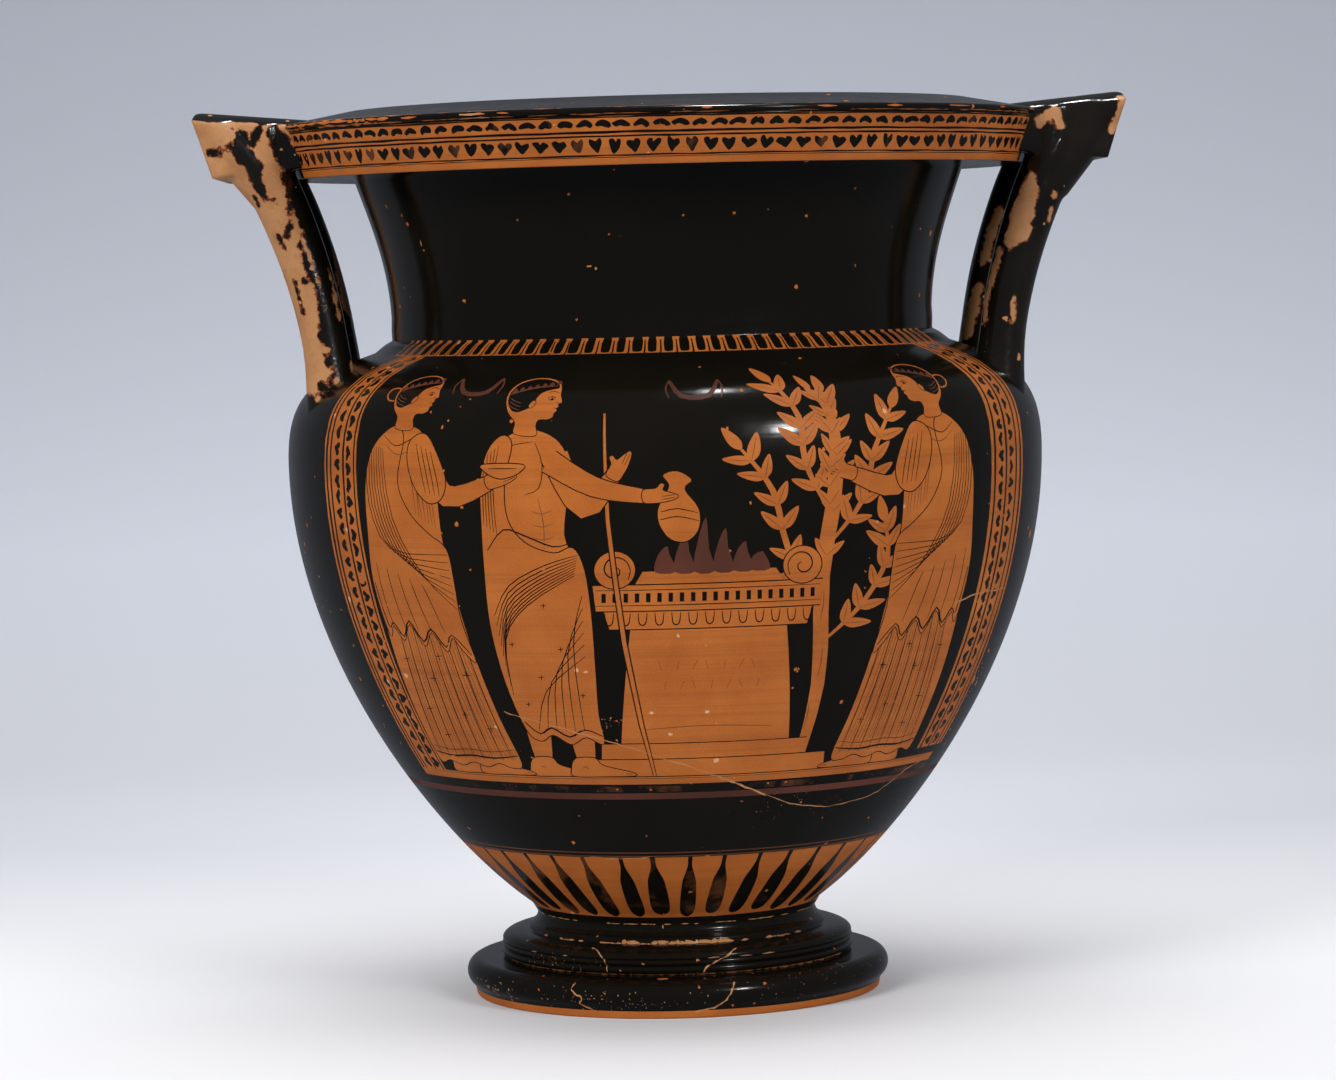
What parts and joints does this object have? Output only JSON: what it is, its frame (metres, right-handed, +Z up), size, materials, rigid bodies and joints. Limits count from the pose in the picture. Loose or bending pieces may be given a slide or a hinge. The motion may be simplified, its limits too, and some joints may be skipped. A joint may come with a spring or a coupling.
{
  "type": "column krater",
  "caption": "Wide-bellied clay mixing bowl on a stepped foot, with a flaring neck, broad flat rim and column handles.",
  "frame": {"origin": "centre of the foot, at the level it stands on", "axes": "+Z up, X from handle to handle, -Y towards the main picture"},
  "size_m": [0.4034, 0.342, 0.3944],
  "materials": {
    "glazed_clay": "semi-gloss black over matt orange clay"
  },
  "bodies": {
    "root": {"krater": "glazed_clay"}
  },
  "joints": []
}
